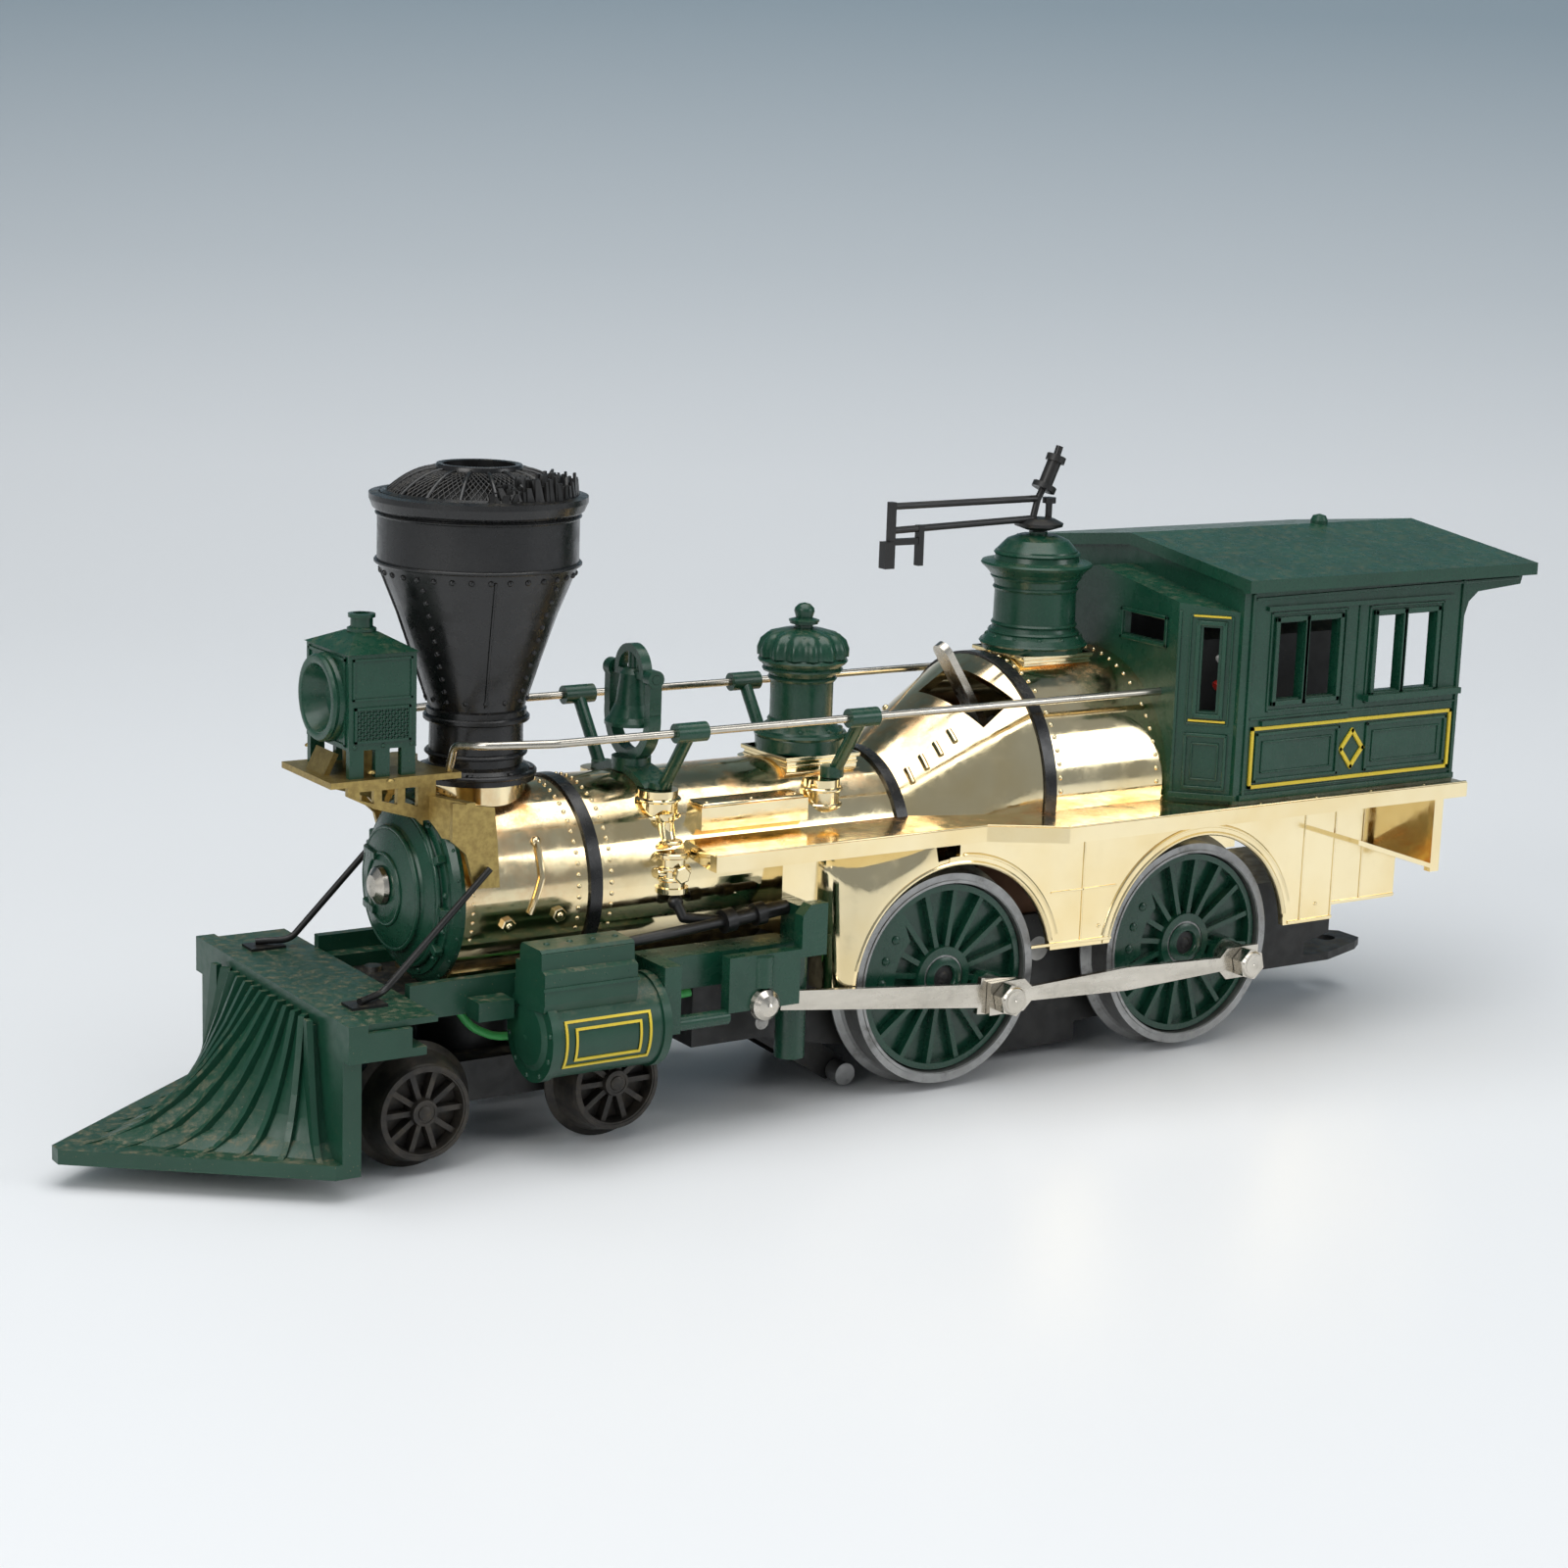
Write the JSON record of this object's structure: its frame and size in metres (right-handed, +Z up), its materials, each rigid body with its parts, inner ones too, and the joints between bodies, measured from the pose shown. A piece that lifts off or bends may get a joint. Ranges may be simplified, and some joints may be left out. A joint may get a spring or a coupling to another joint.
{
  "type": "model steam locomotive",
  "caption": "Toy steam locomotive with flanged drivers, coupling rods, swivelling leading truck, balloon stack, gold boiler shell, domes, bell, cab and pilot, on a geared chassis.",
  "frame": {"origin": "middle of the bounding box in plan, at the lowest point of the wheel flanges", "axes": "+X towards the pilot at the front, +Y to the locomotive's left, +Z up"},
  "size_m": [0.248, 0.062, 0.0983],
  "materials": {
    "green_plastic": "glossy moulded plastic, dusty in the corners",
    "gold_plated": "plated plastic shell, polished, hazed and worn orange on top",
    "black_plastic": "glossy black moulded plastic",
    "bare_zinc": "dull turned zinc alloy",
    "nickel": "nickel plated",
    "blackened_metal": "semi-gloss black",
    "machine_steel": "plain machined steel",
    "bracket_brass": "matt granular brass finish",
    "fibre_board": "brown fibre board",
    "clear_glass": "clear"
  },
  "bodies": {
    "locomotive": {"smokebox_front": "green_plastic", "headlight_housing": "green_plastic", "bell_stand": "green_plastic", "rear_stanchions": "green_plastic", "sand_dome": "green_plastic", "steam_dome": "green_plastic", "cab_shell": "green_plastic", "cab_roof": "green_plastic", "pilot": "green_plastic", "front_deck": "green_plastic", "cylinder_left": "green_plastic", "cylinder_right": "green_plastic", "crosshead_guide_left": "green_plastic", "crosshead_guide_right": "green_plastic", "headlight_lead": "green_plastic", "body_shell": "gold_plated", "boiler_bands": "black_plastic", "smokestack": "black_plastic", "spark_arrestor": "black_plastic", "feed_pumps": "black_plastic", "smokebox_braces": "black_plastic", "motor_cover": "black_plastic", "smokebox_screw": "nickel", "handrails": "nickel", "guide_studs": "nickel", "chassis_frame": "blackened_metal", "drawbar": "blackened_metal", "chassis_pins": "machine_steel", "chassis_screws": "machine_steel", "motor_field": "machine_steel", "reverse_unit": "machine_steel", "headlight_bracket": "bracket_brass", "axle_bushes": "bracket_brass", "brush_holder": "fibre_board", "headlight_bulb": "clear_glass"},
    "front_driver": {"front_axle": "machine_steel", "front_driver_wheels": "bare_zinc", "front_driver_centres": "green_plastic", "front_driver_gear": "machine_steel", "front_crank_bolts": "nickel"},
    "rear_driver": {"rear_axle": "machine_steel", "rear_driver_wheels": "bare_zinc", "rear_driver_centres": "green_plastic", "rear_driver_gear": "machine_steel", "rear_crank_bolts": "nickel"},
    "idler": {"idler_gear": "machine_steel"},
    "armature_rotor": {"armature": "machine_steel", "armature_shaft": "machine_steel"},
    "side_rod_left": {"side_rod_left": "nickel"},
    "side_rod_right": {"side_rod_right": "nickel"},
    "main_rod_left": {"main_rod_left": "nickel"},
    "main_rod_right": {"main_rod_right": "nickel"},
    "truck": {"truck_frame": "blackened_metal"},
    "truck_front": {"truck_front_wheelset": "blackened_metal"},
    "truck_rear": {"truck_rear_wheelset": "blackened_metal"},
    "bell": {"bell": "green_plastic"},
    "reverse_lever": {"reverse_lever": "nickel"},
    "valve_lever": {"safety_valve_lever": "black_plastic"},
    "collector": {"collector_arm": "machine_steel"},
    "roller": {"collector_roller": "bare_zinc"}
  },
  "joints": [
    {"name": "front_driver_spin", "type": "hinge", "parent": "locomotive", "child": "front_driver", "pos_m": [-0.0124, 0, 0.0181], "axis": [0, 1, 0], "continuous": true},
    {"name": "rear_driver_spin", "type": "hinge", "parent": "locomotive", "child": "rear_driver", "pos_m": [-0.0612, 0, 0.0181], "axis": [0, 1, 0], "continuous": true},
    {"name": "idler_spin", "type": "hinge", "parent": "locomotive", "child": "idler", "pos_m": [-0.0368, 0, 0.0181], "axis": [0, 1, 0], "continuous": true},
    {"name": "armature_spin", "type": "hinge", "parent": "locomotive", "child": "armature_rotor", "pos_m": [-0.0368, 0, 0.0361], "axis": [0, 1, 0], "continuous": true},
    {"name": "side_rod_left_turn", "type": "hinge", "parent": "front_driver", "child": "side_rod_left", "pos_m": [-0.02071, 0.0239, 0.01521], "axis": [0, 1, 0], "continuous": true},
    {"name": "side_rod_right_turn", "type": "hinge", "parent": "front_driver", "child": "side_rod_right", "pos_m": [-0.01529, -0.0239, 0.02641], "axis": [0, 1, 0], "continuous": true},
    {"name": "main_rod_left_turn", "type": "hinge", "parent": "front_driver", "child": "main_rod_left", "pos_m": [-0.02071, 0.0229, 0.01521], "axis": [0, 1, 0], "continuous": true},
    {"name": "main_rod_right_turn", "type": "hinge", "parent": "front_driver", "child": "main_rod_right", "pos_m": [-0.01529, -0.0229, 0.02641], "axis": [0, 1, 0], "continuous": true},
    {"name": "truck_swivel", "type": "hinge", "parent": "locomotive", "child": "truck", "pos_m": [0.0615, 0, 0.013], "axis": [0, 0, 1], "range_deg": [-5, 5]},
    {"name": "truck_front_spin", "type": "hinge", "parent": "truck", "child": "truck_front", "pos_m": [0.077, 0, 0.0093], "axis": [0, 1, 0], "continuous": true},
    {"name": "truck_rear_spin", "type": "hinge", "parent": "truck", "child": "truck_rear", "pos_m": [0.046, 0, 0.0093], "axis": [0, 1, 0], "continuous": true},
    {"name": "bell_swing", "type": "hinge", "parent": "locomotive", "child": "bell", "pos_m": [0.0336, 0, 0.0662], "axis": [0, 1, 0], "range_deg": [-25, 25]},
    {"name": "reverse_lever_swing", "type": "hinge", "parent": "locomotive", "child": "reverse_lever", "pos_m": [-0.0297, 0.005, 0.05157], "axis": [0.8415, 0, -0.5402], "range_deg": [-14, 14]},
    {"name": "valve_lever_turn", "type": "hinge", "parent": "locomotive", "child": "valve_lever", "pos_m": [-0.0414, 0, 0.0848], "axis": [0, 0, 1], "range_deg": [-30, 30]},
    {"name": "collector_rise", "type": "hinge", "parent": "locomotive", "child": "collector", "pos_m": [0.016, 0, 0.0126], "axis": [0, 1, 0], "range_deg": [0, 8], "stiffness_Nm_per_rad": 0.01, "springref_deg": -5.73},
    {"name": "collector_roller_spin", "type": "hinge", "parent": "collector", "child": "roller", "pos_m": [0.0002, 0, 0.002], "axis": [0, 1, 0], "continuous": true}
  ],
  "couplings": [
    {"joint": "rear_driver_spin", "follows": "front_driver_spin", "ratio": 1},
    {"joint": "idler_spin", "follows": "front_driver_spin", "ratio": -0.74286},
    {"joint": "armature_spin", "follows": "front_driver_spin", "ratio": 2.6},
    {"joint": "side_rod_left_turn", "follows": "front_driver_spin", "ratio": -1},
    {"joint": "side_rod_right_turn", "follows": "front_driver_spin", "ratio": -1},
    {"joint": "main_rod_left_turn", "follows": "front_driver_spin", "ratio": -1},
    {"joint": "main_rod_right_turn", "follows": "front_driver_spin", "ratio": -1}
  ]
}
